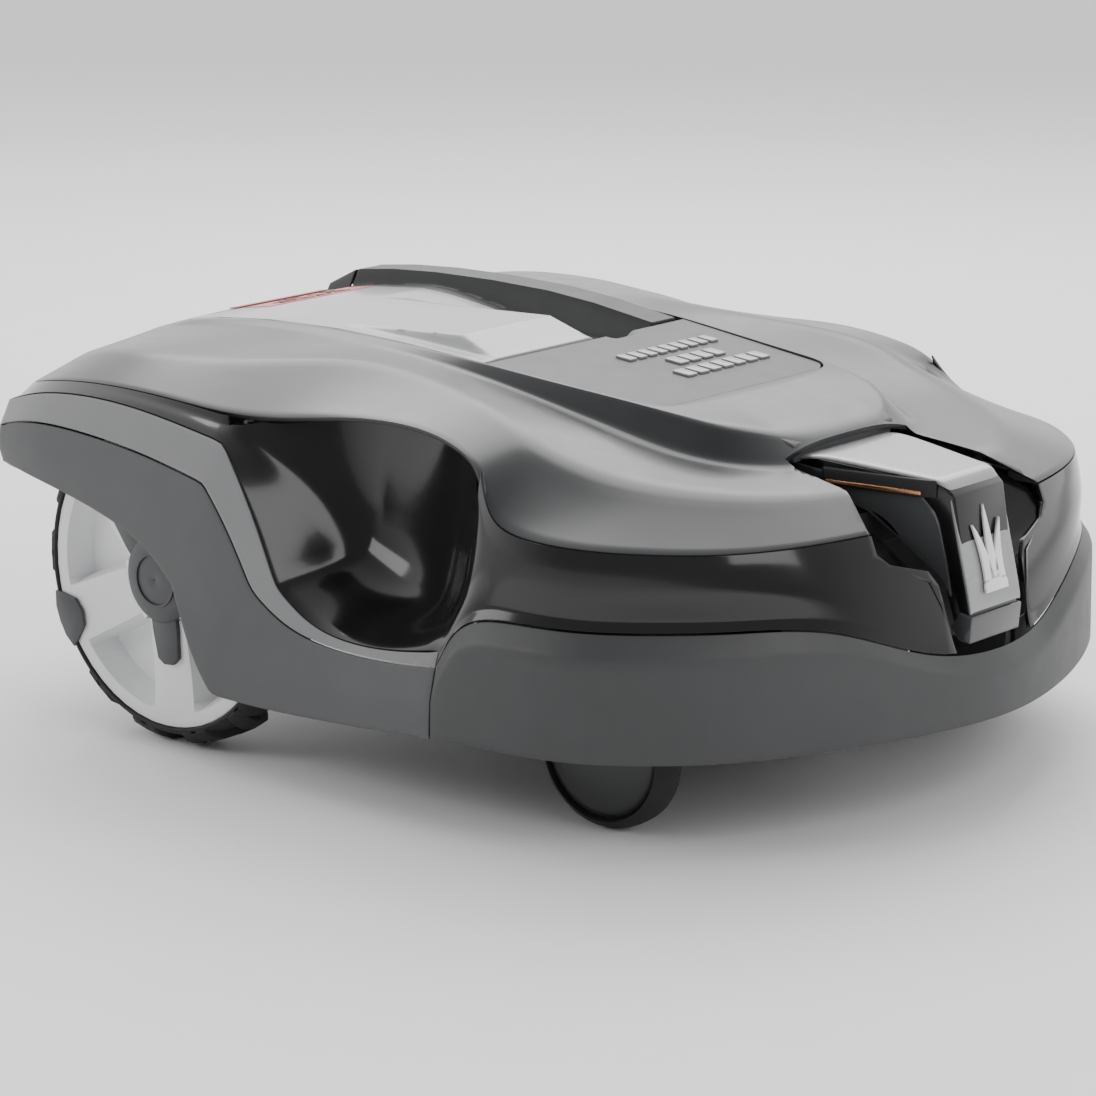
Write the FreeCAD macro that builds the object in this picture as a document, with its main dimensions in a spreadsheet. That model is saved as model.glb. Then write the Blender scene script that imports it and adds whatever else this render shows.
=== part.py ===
"""Robotic lawn mower: chassis, floating shell, wheels, casters, cutting unit and controls.

Frame: +X is the driving direction, +Y the machine's left, +Z up, in millimetres.
The origin is under the middle of the machine, on the ground.
"""
import FreeCAD, Part
import math
import os
import re
import Sketcher
from FreeCAD import Placement, Rotation, Vector

doc = FreeCAD.newDocument("mower")
sheet = doc.addObject("Spreadsheet::Sheet", "Sizes")

SIZES = {
    # chassis tub and lid
    "tub_rear": -215, "tub_length": 450, "tub_width": 224, "tub_floor": 78, "tub_rim": 150,
    "wall": 3, "seal_height": 1, "lid_rise": 21, "lid_top": 172,
    "console_rear": -20, "console_length": 148, "console_width": 176, "console_top": 203,
    "arm_rear": 140, "arm_length": 65, "arm_span": 408, "arm_floor": 104, "arm_height": 36,
    # drive
    "axle_x": -148, "wheel_radius": 106, "wheel_inner": 206, "wheel_width": 36,
    "shoulder_radius": 96, "crown_width": 24, "rim_radius": 94, "rim_lip": 5,
    "hub_radius": 26, "hub_depth": 24, "spoke_width": 22, "spoke_depth": 12,
    "cap_radius": 23, "cap_depth": 6, "axle_radius": 6, "running_gap": 0.05,
    "motor_radius": 34, "motor_inner": 112, "motor_length": 84, "axle_reach": 40,
    "lug_count": 26, "lug_length": 13, "lug_height": 5,
    # casters
    "caster_x": 172.5, "caster_y": 178, "caster_trail": 10, "caster_radius": 48,
    "caster_width": 32, "stem_radius": 7, "stem_length": 34, "pin_radius": 4,
    "arm_thick": 5, "arm_wide": 22, "arm_gap": 1,
    # cutting unit
    "cut_x": 25, "disc_radius": 88, "disc_z": 24, "disc_thick": 3, "spindle_radius": 4,
    "spindle_bottom": 9, "spindle_length": 42, "pivot_ring": 80, "screw_radius": 2.5,
    "blade_length": 36, "blade_width": 18, "blade_thick": 0.8, "blade_z": 21.5, "blade_gap": 0.1,
    "housing_radius": 38, "housing_bottom": 34, "housing_height": 72, "housing_wall": 2.5,
    "housing_bore": 44, "cut_motor_radius": 25, "cut_motor_height": 50,
    "skid_radius": 78, "skid_z": 12, "skid_thick": 3, "bearing_radius": 10, "bearing_thick": 5,
    # controls
    "display_x": 60, "display_length": 46, "display_width": 80, "display_height": 5,
    "window_length": 30, "window_width": 60, "window_thick": 1,
    "mat_x": 2, "mat_length": 50, "mat_width": 84, "mat_thick": 1.5,
    "key_radius": 5.5, "key_gap": 0.5, "key_bottom": 202, "key_height": 6.5, "key_pitch": 19,
    "dial_x": 85, "dial_y": -63, "dial_radius": 19, "dial_height": 10,
    "switch_y": 63, "switch_radius": 12, "switch_height": 9, "knob_lift": 0.5,
    # battery and board
    "battery_x": -190, "battery_length": 120, "battery_width": 110, "battery_height": 36,
    "battery_lift": 1, "door_thick": 2.5, "board_thick": 1.6, "board_z": 128,
    # bump sensing posts
    "post_rear_x": -170, "post_front_x": 150, "post_y": 98, "post_radius": 4, "post_bottom": 176,
    "post_rear_height": 48, "post_front_height": 19, "cup_radius": 13, "cup_bore": 10,
    "cup_height": 14, "cup_floor": 2,
    # hatch and stop button
    "hatch_rear": -9, "hatch_front": 119, "hatch_rear_half": 95.5, "hatch_front_half": 83.5,
    "hatch_rear_top": 237.2, "hatch_front_top": 225.2, "hatch_thick": 3.5, "lid_gap": 1,
    "hinge_x": 116.5, "hinge_z": 223.65, "hinge_radius": 1.1, "hinge_length": 153,
    "stop_rear": -272, "stop_half": 95, "stop_thick": 4,
    # snout
    "snout_half_rear": 42, "snout_half_front": 26, "strip_length": 62, "strip_height": 7,
    "strip_thick": 1.2, "badge_height": 52, "badge_width": 24, "badge_thick": 1.5,
    # shell
    "skin": 2.5, "screw_head": 3.5, "screw_length": 12,
}

for row, (alias, value) in enumerate(SIZES.items(), start=1):
    sheet.set(f"A{row}", alias)
    sheet.set(f"B{row}", str(value))
    sheet.setAlias(f"B{row}", alias)
doc.recompute()

PARTS = []


def linked(text):
    """The expression text with each alias pointed at the sheet."""
    return re.sub(r"[a-z][a-z_]*", lambda word: "Sizes." + word.group(), str(text))


def size(text):
    """The value of an arithmetic expression of sheet aliases, worked out by the sheet."""
    probe = doc.getObject("Probe") or doc.addObject("Part::Box", "Probe")
    probe.setExpression("Placement.Base.x", linked(text))
    probe.recompute()
    return probe.Placement.Base.x


def bind(thing, **properties):
    for name, text in properties.items():
        thing.setExpression(name.replace("__", "."), linked(text))
    return thing


def place(thing, x=0, y=0, z=0):
    return bind(thing, Placement__Base__x=x, Placement__Base__y=y, Placement__Base__z=z)


def keep(thing, label):
    """Name a finished sub-part; its label names its file."""
    thing.Label = label
    PARTS.append(thing)
    return thing


def box(length, width, height, x, y, z):
    """A block whose corner of lowest X, Y and Z is at x, y, z."""
    thing = doc.addObject("Part::Box", "Block")
    bind(thing, Length=length, Width=width, Height=height)
    return place(thing, x, y, z)


def middle_box(length, width, height, x, z):
    """A block centred on Y = 0."""
    return box(length, width, height, x, f"-({width}) / 2", z)


def rod(radius, height, x, y, z, turn=None):
    """A cylinder along Z, or along another axis after the turn (axis, angle)."""
    thing = doc.addObject("Part::Cylinder", "Rod")
    bind(thing, Radius=radius, Height=height)
    if turn:
        thing.Placement = Placement(Vector(), Rotation(*turn))
    return place(thing, x, y, z)


ALONG_Y = (Vector(1, 0, 0), -90)


def join(*things):
    thing = doc.addObject("Part::MultiFuse", "Join")
    thing.Shapes = list(things)
    return thing


def cut(base, *tools):
    thing = doc.addObject("Part::Cut", "Cut")
    thing.Base = base
    thing.Tool = tools[0] if len(tools) == 1 else join(*tools)
    return thing


def common(first, second):
    thing = doc.addObject("Part::MultiCommon", "Common")
    thing.Shapes = [first, second]
    return thing


def sketch_on(body, plane, points):
    """A closed outline whose corners are held by expressions, on a plane of the body's origin."""
    sketch = body.newObject("Sketcher::SketchObject", "Outline")
    origin = next(p for p in body.Origin.OriginFeatures if p.Role == plane)
    sketch.AttachmentSupport = [(origin, "")]
    sketch.MapMode = "FlatFace"
    corners = [Vector(size(u), size(v), 0) for u, v in points]
    for start, end in zip(corners, corners[1:] + corners[:1]):
        sketch.addGeometry(Part.LineSegment(start, end), False)
    for i, (u, v) in enumerate(points):
        sketch.addConstraint(Sketcher.Constraint("Coincident", i, 1, (i - 1) % len(points), 2))
        for kind, text in (("DistanceX", u), ("DistanceY", v)):
            index = sketch.addConstraint(Sketcher.Constraint(kind, -1, 1, i, 1, size(text)))
            sketch.setExpression(f"Constraints[{index}]", linked(text))
    return sketch


def prism(plane, points, length, symmetric=True):
    body = doc.addObject("PartDesign::Body", "Body")
    pad = body.newObject("PartDesign::Pad", "Pad")
    pad.Profile = sketch_on(body, plane, points)
    pad.Midplane = symmetric
    bind(pad, Length=length)
    return body


def turned(points, upright=True):
    """A body turned about Z, or about Y: points are (radius, height along the axis)."""
    body = doc.addObject("PartDesign::Body", "Body")
    sketch = sketch_on(body, "XZ_Plane" if upright else "XY_Plane", points)
    turn = body.newObject("PartDesign::Revolution", "Turn")
    turn.Profile = sketch
    turn.ReferenceAxis = (sketch, ["V_Axis"])
    turn.Angle = 360
    return body


SIDES = (("left", 1), ("right", -1))


def mirrored(thing):
    copy = doc.addObject("Part::Mirroring", "Mirror")
    copy.Source = thing
    copy.Normal = Vector(0, 1, 0)
    return copy


def both_sides(thing, stem):
    """Keep a left-hand piece and its mirror image as two sub-parts."""
    keep(thing, stem + "_left")
    keep(mirrored(thing), stem + "_right")


# --- chassis -----------------------------------------------------------------------------------

def key_spots():
    for name, ahead, across in (("home", 0, 1), ("ok", 0, -1), ("start", 1, 1), ("power", 1, -1)):
        yield name, f"mat_x + 15 + key_pitch * {ahead}", f"key_pitch * {across}"


def key_holes():
    return [rod("key_radius + key_gap", 20, x, y, "console_top - 12") for _, x, y in key_spots()]


def lid_screws():
    return [rod("screw_head", "screw_length", x, f"{side} * (tub_width / 2 - 8)", "lid_top - 10")
            for x in ("tub_rear + 8", "tub_rear + 130", "tub_rear + tub_length - 8")
            for _, side in SIDES]


def make_chassis():
    tub = middle_box("tub_length", "tub_width", "tub_rim - tub_floor", "tub_rear", "tub_floor")
    arms = middle_box("arm_length", "arm_span", "arm_height", "arm_rear", "arm_floor")
    hollow = middle_box("tub_length - 2 * wall", "tub_width - 2 * wall", "tub_rim - tub_floor",
                        "tub_rear + wall", "tub_floor + wall")
    bore = rod("housing_bore", 20, "cut_x", 0, "tub_floor - 8")
    stems = [rod("stem_radius + running_gap", "stem_length", "caster_x", f"{side} * caster_y",
                 "arm_floor - 1") for _, side in SIDES]
    keep(cut(join(tub, arms), hollow, bore, *stems), "lower_chassis")

    rim = middle_box("tub_length", "tub_width", "seal_height", "tub_rear", "tub_rim")
    inside = middle_box("tub_length - 2 * wall", "tub_width - 2 * wall", "seal_height + 2",
                        "tub_rear + wall", "tub_rim - 1")
    keep(cut(rim, inside), "chassis_seal")

    lid = middle_box("tub_length", "tub_width", "lid_rise", "tub_rear", "tub_rim + seal_height")
    console = middle_box("console_length", "console_width", "console_top - lid_top",
                         "console_rear", "lid_top")
    lid_hollow = middle_box("tub_length - 2 * wall", "tub_width - 2 * wall", "lid_rise - wall",
                            "tub_rear + wall", "tub_rim + seal_height")
    console_hollow = middle_box("console_length - 2 * wall", "console_width - 2 * wall",
                                "console_top - lid_top", "console_rear + wall", "lid_top - wall")
    keep(cut(join(lid, console), lid_hollow, console_hollow, *key_holes(), *lid_screws()),
         "upper_chassis")
    keep(join(*lid_screws()), "chassis_screws")


def make_insides():
    keep(middle_box("battery_length", "battery_width", "battery_height", "battery_x",
                    "tub_floor + wall + battery_lift"), "battery_pack")
    keep(middle_box("battery_length - 10", "battery_width", "door_thick", "battery_x + 5",
                    "tub_floor - door_thick"), "battery_cover")
    keep(middle_box("battery_length + 20", "battery_width + 20", "board_thick", "battery_x - 10",
                    "board_z"), "main_circuit_board")


# --- drive ---------------------------------------------------------------------------------------

def make_drive():
    wide = "wheel_width"
    tyre = turned([("rim_radius", 0), ("shoulder_radius", 0), ("wheel_radius - 3", 4),
                   ("wheel_radius - 3", "crown_width"), ("shoulder_radius", f"{wide}"),
                   ("rim_radius", f"{wide}")], upright=False)
    bind(tyre, Placement__Base__x="axle_x", Placement__Base__y="wheel_inner",
         Placement__Base__z="wheel_radius")
    lugs = []
    for i in range(int(SIZES["lug_count"])):
        turn = 360 * i / SIZES["lug_count"]
        lug = doc.addObject("Part::Box", "Lug")
        bind(lug, Length="lug_length", Width="crown_width - 2", Height="lug_height")
        spoke = Vector(-SIZES["lug_length"] / 2, 0, SIZES["wheel_radius"] - SIZES["lug_height"])
        hub = Vector(SIZES["axle_x"], SIZES["wheel_inner"] + 2, SIZES["wheel_radius"])
        spin = Rotation(Vector(0, 1, 0), turn)
        lug.Placement = Placement(hub + spin.multVec(spoke), spin)
        lugs.append(lug)
    both_sides(join(tyre, *lugs), "rear_tyre")

    ring = turned([("rim_radius - rim_lip", 2), ("rim_radius", 2), ("rim_radius", f"{wide}"),
                   ("rim_radius - rim_lip", f"{wide}")], upright=False)
    hub = turned([("axle_radius", "wheel_width - hub_depth"), ("hub_radius", "wheel_width - hub_depth"),
                  ("hub_radius", "wheel_width - 4"), ("axle_radius", "wheel_width - 4")],
                 upright=False)
    pieces = [ring, hub]
    for i in range(5):
        spin = Rotation(Vector(0, 1, 0), 72 * i)
        spoke = doc.addObject("Part::Box", "Spoke")
        bind(spoke, Length="spoke_width", Width="spoke_depth", Height="rim_radius - rim_lip - 22")
        start = spin.multVec(Vector(-SIZES["spoke_width"] / 2, 0, 24))
        spoke.Placement = Placement(start + Vector(0, SIZES["wheel_width"] - 18, 0), spin)
        pieces.append(spoke)
    rim = join(*pieces)
    rim.Placement = Placement(Vector(SIZES["axle_x"], SIZES["wheel_inner"], SIZES["wheel_radius"]),
                              Rotation())
    both_sides(rim, "rear_rim")

    both_sides(rod("cap_radius", "cap_depth", "axle_x", "wheel_inner + wheel_width - 4",
                   "wheel_radius", ALONG_Y), "hub_cap")
    both_sides(rod("axle_radius", "axle_reach", "axle_x", "wheel_inner + wheel_width - 4 - axle_reach",
                   "wheel_radius", ALONG_Y), "wheel_axle")
    motor = rod("motor_radius", "motor_length", "axle_x", "motor_inner", "wheel_radius", ALONG_Y)
    socket = rod("axle_radius + running_gap", "motor_length", "axle_x", "motor_inner + 60",
                 "wheel_radius", ALONG_Y)
    both_sides(cut(motor, socket), "wheel_gearmotor")


# --- casters --------------------------------------------------------------------------------------

def make_casters():
    wheel_x = "caster_x - caster_trail"
    stem = rod("stem_radius", "stem_length", "caster_x", "caster_y", "caster_radius * 2 + 2")
    plate = box("arm_wide + caster_trail", "caster_width + 2 * arm_thick + 2 * arm_gap", "arm_thick",
                "caster_x - caster_trail - arm_wide / 2",
                "caster_y - caster_width / 2 - arm_thick - arm_gap", "caster_radius * 2 + 2")
    leg = box("arm_wide", "arm_thick", "caster_radius + 14", f"{wheel_x} - arm_wide / 2",
              "caster_y - caster_width / 2 - arm_thick - arm_gap", "caster_radius - 11")
    bore = rod("pin_radius", 80, wheel_x, "caster_y - 40", "caster_radius", ALONG_Y)
    both_sides(cut(join(stem, plate, leg), bore), "caster_arm")

    rim, wide = "caster_radius", "caster_width"
    tread = turned([("pin_radius + running_gap", 3), (f"{rim} - 8", 3), (f"{rim} - 6", 0),
                    (f"{rim} - 2", 3), (rim, f"{wide} / 2 - 6"), (rim, f"{wide} / 2 + 6"),
                    (f"{rim} - 3", f"{wide} - 3"), (f"{rim} - 8", wide), ("18", f"{wide} + 3"),
                    ("pin_radius + running_gap", f"{wide} + 3")], upright=False)
    place(tread, wheel_x, f"caster_y - {wide} / 2", rim)
    both_sides(tread, "front_wheel")
    both_sides(rod("pin_radius", "caster_width + 3 + arm_thick", wheel_x,
                   "caster_y - caster_width / 2 - arm_thick - arm_gap", "caster_radius", ALONG_Y),
               "caster_axle")


# --- cutting unit -----------------------------------------------------------------------------------

def make_cutting_unit():
    case = rod("housing_radius", "housing_height", "cut_x", 0, "housing_bottom")
    room = rod("housing_radius - housing_wall", "housing_height - housing_wall - 4", "cut_x", 0,
               "housing_bottom + 4")
    shaft = rod("spindle_radius + running_gap", 20, "cut_x", 0, "housing_bottom - 5")
    keep(cut(case, room, shaft), "blade_motor_housing")
    engine = rod("cut_motor_radius", "cut_motor_height", "cut_x", 0, "housing_bottom + 4")
    keep(cut(engine, rod("spindle_radius + running_gap", 20, "cut_x", 0, "housing_bottom - 2")),
         "blade_motor")

    disc = rod("disc_radius", "disc_thick", "cut_x", 0, "disc_z")
    spindle = rod("spindle_radius", "spindle_length", "cut_x", 0, "spindle_bottom")
    hub = rod("spindle_radius + 12", 4, "cut_x", 0, "disc_z + disc_thick")
    holes = []
    screws = []
    for i in range(3):
        turn = math.radians(120 * i + 60)
        x = f"cut_x + pivot_ring * {math.cos(turn):.6f}"
        y = f"pivot_ring * {math.sin(turn):.6f}"
        holes.append(rod("screw_radius", 20, x, y, "disc_z - 8"))
        shank = rod("screw_radius", 9, x, y, "disc_z - 5")
        head = rod("screw_radius + 2.5", 1.6, x, y, "disc_z - 6")
        screws.append(join(shank, head))
        blade = box("blade_length", "blade_width", "blade_thick", "-6", "-blade_width / 2", 0)
        hole = rod("screw_radius + blade_gap", 5, 0, 0, -2)
        knife = cut(blade, hole)
        knife.Placement = Placement(Vector(size(x), size(y), SIZES["blade_z"]),
                                    Rotation(Vector(0, 0, 1), 120 * i + 60))
        keep(knife, f"blade_{i + 1}")
    keep(cut(join(disc, spindle, hub), *holes), "blade_disc")
    keep(join(*screws), "blade_screws")

    skid = rod("skid_radius", "skid_thick", "cut_x", 0, "skid_z")
    keep(cut(skid, rod("bearing_radius", 20, "cut_x", 0, "skid_z - 5")), "skid_plate")
    race = rod("bearing_radius", "bearing_thick", "cut_x", 0, "skid_z - 1")
    keep(cut(race, rod("spindle_radius + running_gap", 20, "cut_x", 0, "skid_z - 5")),
         "skid_plate_bearing")


# --- controls under the hatch -------------------------------------------------------------------------

def make_controls():
    top = "console_top"
    keep(middle_box("display_length", "display_width", "display_height", "display_x", top),
         "display_unit")
    keep(middle_box("window_length", "window_width", "window_thick", "display_x + 8",
                    f"{top} + display_height"), "display_window")
    mat = middle_box("mat_length", "mat_width", "mat_thick", "mat_x", top)
    keep(cut(mat, *key_holes()), "keypad_mat")
    for name, x, y in key_spots():
        keep(rod("key_radius", "key_height", x, y, "key_bottom"), f"{name}_button")
    keep(rod("dial_radius", "dial_height", "dial_x", "dial_y", f"{top} + knob_lift"), "height_dial")
    knob = rod("switch_radius", "switch_height", "dial_x", "switch_y", f"{top} + knob_lift")
    groove = box("switch_radius * 2", 5, 10, "dial_x - switch_radius", "switch_y + 3",
                 f"{top} + knob_lift + 4")
    keep(cut(knob, groove), "main_switch")


# --- bump sensing ---------------------------------------------------------------------------------------

def make_posts():
    posts = []
    cups = []
    for x, tall in (("post_rear_x", "post_rear_height"), ("post_front_x", "post_front_height")):
        for _, side in SIDES:
            y = f"{side} * post_y"
            posts.append(rod("post_radius", tall, x, y, "post_bottom"))
            cups.append(cut(rod("cup_radius", "cup_height", x, y, "lid_top"),
                            rod("cup_bore", "cup_height", x, y, "lid_top + cup_floor")))
    keep(join(*posts), "joystick_posts")
    keep(join(*cups), "joystick_sockets")


# --- snout ------------------------------------------------------------------------------------------------

def make_snout():
    side = [(168, "lid_top"), (176, 197), (203, 204), (286.5, 197), (306.5, 118), (303, 104),
            (293, 108), (284, 138), (245, 166), (236, "lid_top")]
    slab = prism("XZ_Plane", side, 120)
    plan = [(150, "snout_half_rear + 2"), (203, "snout_half_rear"), (286.5, "snout_half_front"),
            (320, "snout_half_front - 1"), (320, "1 - snout_half_front"),
            (286.5, "-snout_half_front"), (203, "-snout_half_rear"), (150, "-snout_half_rear - 2")]
    wedge = prism("XY_Plane", plan, 520)
    keep(common(slab, wedge), "charging_snout")

    lean = math.degrees(math.atan2(SIZES["snout_half_rear"] - SIZES["snout_half_front"], 83.5))
    strips = []
    for _, hand in SIDES:
        strip = doc.addObject("Part::Box", "Strip")
        bind(strip, Length="strip_length", Width="strip_thick", Height="strip_height")
        spin = Rotation(Vector(0, 0, 1), -hand * lean)
        out = Vector(0, 0 if hand > 0 else -SIZES["strip_thick"], 0)
        strip.Placement = Placement(Vector(212, hand * 40.28, 187) + spin.multVec(out), spin)
        strips.append(strip)
    keep(join(*strips), "charging_strips")

    tilt = math.degrees(math.atan2(79, 20))
    badge = doc.addObject("Part::Box", "Badge")
    bind(badge, Length="badge_height", Width="badge_width", Height="badge_thick")
    spin = Rotation(Vector(0, 1, 0), tilt)
    start = Vector(290.5, -SIZES["badge_width"] / 2, 181.2)
    badge.Placement = Placement(start, spin)
    keep(badge, "snout_badge")


# --- hatch and stop button ------------------------------------------------------------------------------------

def make_hatch():
    slope = "(hatch_rear_top - hatch_front_top)"
    side = [("hatch_rear", "hatch_rear_top - hatch_thick"), ("hatch_rear", "hatch_rear_top"),
            ("hatch_front", "hatch_front_top"), ("hatch_front", "hatch_front_top - hatch_thick")]
    slab = prism("XZ_Plane", side, 300)
    plan = [("hatch_rear", "hatch_rear_half"), ("hatch_front - 12", "hatch_front_half + 1"),
            ("hatch_front", "hatch_front_half - 12"), ("hatch_front", "12 - hatch_front_half"),
            ("hatch_front - 12", "-hatch_front_half - 1"), ("hatch_rear", "-hatch_rear_half")]
    leaf = common(slab, prism("XY_Plane", plan, 600))
    pin_hole = rod("hinge_radius + running_gap", 200, "hinge_x", -100, "hinge_z", ALONG_Y)
    keep(cut(leaf, pin_hole), "hatch_lid")
    keep(rod("hinge_radius", "hinge_length", "hinge_x", "-hinge_length / 2", "hinge_z", ALONG_Y),
         "hatch_hinge_pin")
    lean = math.degrees(math.atan2(size(slope), SIZES["hatch_front"] - SIZES["hatch_rear"]))
    bars = []
    for x, length, y in ((34, 9, -30), (52, 12, -18), (70, 12, -18)):
        bar = doc.addObject("Part::Box", "Bar")
        bind(bar, Length=length, Width=60, Height=1.5)
        drop = (x - SIZES["hatch_rear"]) * math.tan(math.radians(lean))
        bar.Placement = Placement(Vector(x, y, SIZES["hatch_rear_top"] - drop),
                                  Rotation(Vector(0, 1, 0), lean))
        bars.append(bar)
    keep(join(*bars), "hatch_badge")


def deck_profile(lower):
    """The stop button's own stretch of the deck, seen from the side."""
    top = [("stop_rear", 231.5), (-240, 236.8), (-195, 241), (-135, 243), (-80, 241.5),
           ("hatch_rear - lid_gap - 1", 237.8)]
    under = [(x, f"{z} - {lower}") for x, z in reversed(top)]
    return top + under


def make_stop_button():
    plate = prism("XZ_Plane", deck_profile("stop_thick"), "2 * stop_half")
    hump_side = [(-145, 240), (-120, 246), (-50, 245.5), (-22, 238), (-22, 236), (-145, 238)]
    hump = prism("XZ_Plane", hump_side, 62)
    place(hump, 0, -38, 0)
    ridge_side = [(-240, 234), (-210, 245), (-170, 249), (-110, 250), (-60, 245.5),
                  ("hatch_rear - lid_gap - 1", 239), ("hatch_rear - lid_gap - 1", 235)]
    ridge = prism("XZ_Plane", ridge_side, 24)
    place(ridge, 0, "stop_half - 14", 0)
    keep(join(plate, hump, ridge), "stop_button")


# --- shell ------------------------------------------------------------------------------------------------
# The shell is one net of ribs and rows.  Ribs run from the middle line of the deck out and down to
# the skirt, and follow each other from the rear middle round the left side to the front middle.
# Each row is a line that the eye follows along the machine.

ROWS = {
    "middle": [(-262, 0, 233), (-250, 0, 235), (-235, 0, 237), (-220, 0, 239), (-205, 0, 240.5),
               (-175, 0, 242), (-130, 0, 243), (-95, 0, 242), (-60, 0, 241), (-20, 0, 238.5),
               (30, 0, 233.6), (60, 0, 230.8), (80, 0, 229), (95, 0, 227.6), (110, 0, 226.2),
               (122, 0, 225), (131, 0, 224), (139, 0, 223), (147, 0, 222), (154, 0, 221),
               (160, 0, 220)],
    "deck_edge": [(-285, 0, 229), (-284, 60, 229), (-282, 100, 228), (-268, 104, 232),
                  (-245, 102, 236), (-197, 100, 241), (-136, 100, 243), (-95, 100, 242),
                  (-62, 100, 241), (-20, 98, 239), (35, 94, 233.5), (72, 91, 230.5), (95, 89, 228.5),
                  (112, 88, 227), (140, 83, 223.5), (162, 77, 220), (175, 60, 217), (183, 47, 214),
                  (187, 32, 213), (188, 16, 213), (188, 0, 213)],
    "deck_foot": [(-293, 0, 226), (-293, 64, 226), (-290, 110, 225), (-274, 115, 229),
                  (-248, 112, 233), (-197, 110, 239), (-136, 110, 241), (-95, 110, 240),
                  (-62, 108, 239), (-20, 106, 234), (35, 104, 225), (72, 103, 218), (95, 102, 214),
                  (112, 102, 211), (145, 100, 205), (172, 92, 201.5), (190, 78, 199.5), (202, 62, 198),
                  (209, 46, 198), (212, 24, 198), (212, 0, 198)],
    "crease": [(-303, 0, 219), (-303, 90, 218), (-298, 150, 215), (-284, 178, 220), (-251, 186, 228),
               (-205, 190, 232.5), (-148, 187, 233), (-116, 165, 235.5), (-76, 141, 239),
               (-20, 141, 236), (38, 155, 232), (70, 168, 226), (94, 174, 219), (112, 176, 213),
               (150, 170, 204), (188, 152, 199), (215, 130, 196), (232, 106, 194), (243, 80, 193),
               (250, 42, 192), (252, 0, 192)],
    "cover_edge": [(-313, 0, 203), (-313, 110, 202), (-306, 188, 200), (-290, 219, 206),
                   (-252, 230, 215), (-205, 233, 220), (-148, 233, 219.5), (-96, 228, 214),
                   (-62, 212, 214), (-14, 206, 222), (38, 206, 224), (76, 212, 218), (100, 220, 209),
                   (116, 232, 182), (150, 234, 178), (187, 225, 177), (219, 202, 176), (247, 172, 175),
                   (269, 122, 175), (282, 52, 175), (285, 0, 175)],
    "inset_top": [(-315, 0, 198), (-315, 113, 197), (-308, 192, 195), (-291, 223, 203),
                  (-253, 233, 213), (-205, 236, 218), (-149, 236.5, 217), (-92, 232, 209),
                  (-52, 190, 216.5), (-18, 182, 224), (38, 181, 223), (74, 194, 216.5),
                  (101, 225, 193), (117, 234, 170), (150, 236, 168), (188, 227, 168), (220, 204, 168),
                  (249, 173, 168), (272, 122, 167), (288, 54, 160), (291, 0, 160)],
    "inset_foot": [(-316, 0, 194), (-316, 116, 193), (-309, 197, 191), (-292, 227, 200),
                   (-254, 236, 211), (-205, 239, 216), (-150, 241, 214.5), (-89, 239, 206),
                   (-42, 196, 172), (-19, 184, 130), (10, 183, 122), (60, 194, 114), (96, 234, 136),
                   (114, 237, 152), (150, 238, 152), (188, 229, 152), (222, 205, 152), (252, 174, 152),
                   (278, 123, 150), (296, 56, 130), (301, 0, 130)],
    "band_top": [(-317, 0, 190), (-317, 119, 189), (-310, 202, 187), (-293, 231, 197),
                 (-255, 239, 209), (-205, 242, 214), (-150, 244, 212), (-86, 244, 202),
                 (-59, 247, 165), (-39, 248, 122), (-8, 248, 99), (45, 248, 98), (93, 248, 107),
                 (109, 240, 138), (150, 237, 138), (186, 229, 138), (218, 203, 138), (250, 172, 138),
                 (281, 123, 137), (300, 57, 106), (308, 0, 106)],
    "skirt_top": [(-318.5, 0, 172), (-318.5, 124, 171), (-312, 208, 170), (-295, 238, 181),
                  (-258, 246, 191.5), (-205, 248, 191), (-150, 249, 186), (-98, 250, 176),
                  (-78, 250, 152), (-58, 250, 117), (-25, 250, 94), (45, 250, 92), (92, 250, 98),
                  (106, 245, 131), (150, 239, 131), (185, 231, 131), (218, 206, 131), (251, 173, 131),
                  (282, 125, 131), (301, 58, 99), (313, 0, 97)],
    "skirt_wide": [(-318.5, 0, 152), (-318.5, 124, 152), (-312, 208, 152), (-296, 239, 168),
                   (-258, 249, 174), (-205, 251, 170), (-150, 251, 160), (-112, 252, 142),
                   (-93, 253, 110), (-74, 253, 82), (-32, 254, 69), (42, 254, 72), (92, 255, 78),
                   (106, 254, 118), (150, 249, 118), (188, 241, 118), (225, 213, 118), (258, 178, 118),
                   (292, 116, 117), (311, 51, 86), (318.5, 0, 84)],
    "skirt_foot": [(-317, 0, 138), (-317, 122, 138), (-310, 206, 138), (-292, 239, 158),
                   (-258, 250, 156), (-205, 252, 148), (-150, 252, 132), (-124, 253, 108),
                   (-108, 254, 66), (-90, 255, 46), (-40, 256, 46), (38, 256, 51), (92, 256, 56),
                   (106, 256, 57), (150, 252, 57), (188, 243, 57), (225, 216, 57), (259, 180, 57),
                   (294, 106, 57), (312, 44, 57), (317, 0, 57)],
}
NET = [[Vector(*p) for p in line] for line in ROWS.values()]
ROW = {name: index for index, name in enumerate(ROWS)}
LAST_RIB = len(NET[0]) - 1
FENDER_REAR, SEAM = 3, 12
UNDER_EAVE = {(ROW["cover_edge"], rib) for rib in range(7, 12)}


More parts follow.
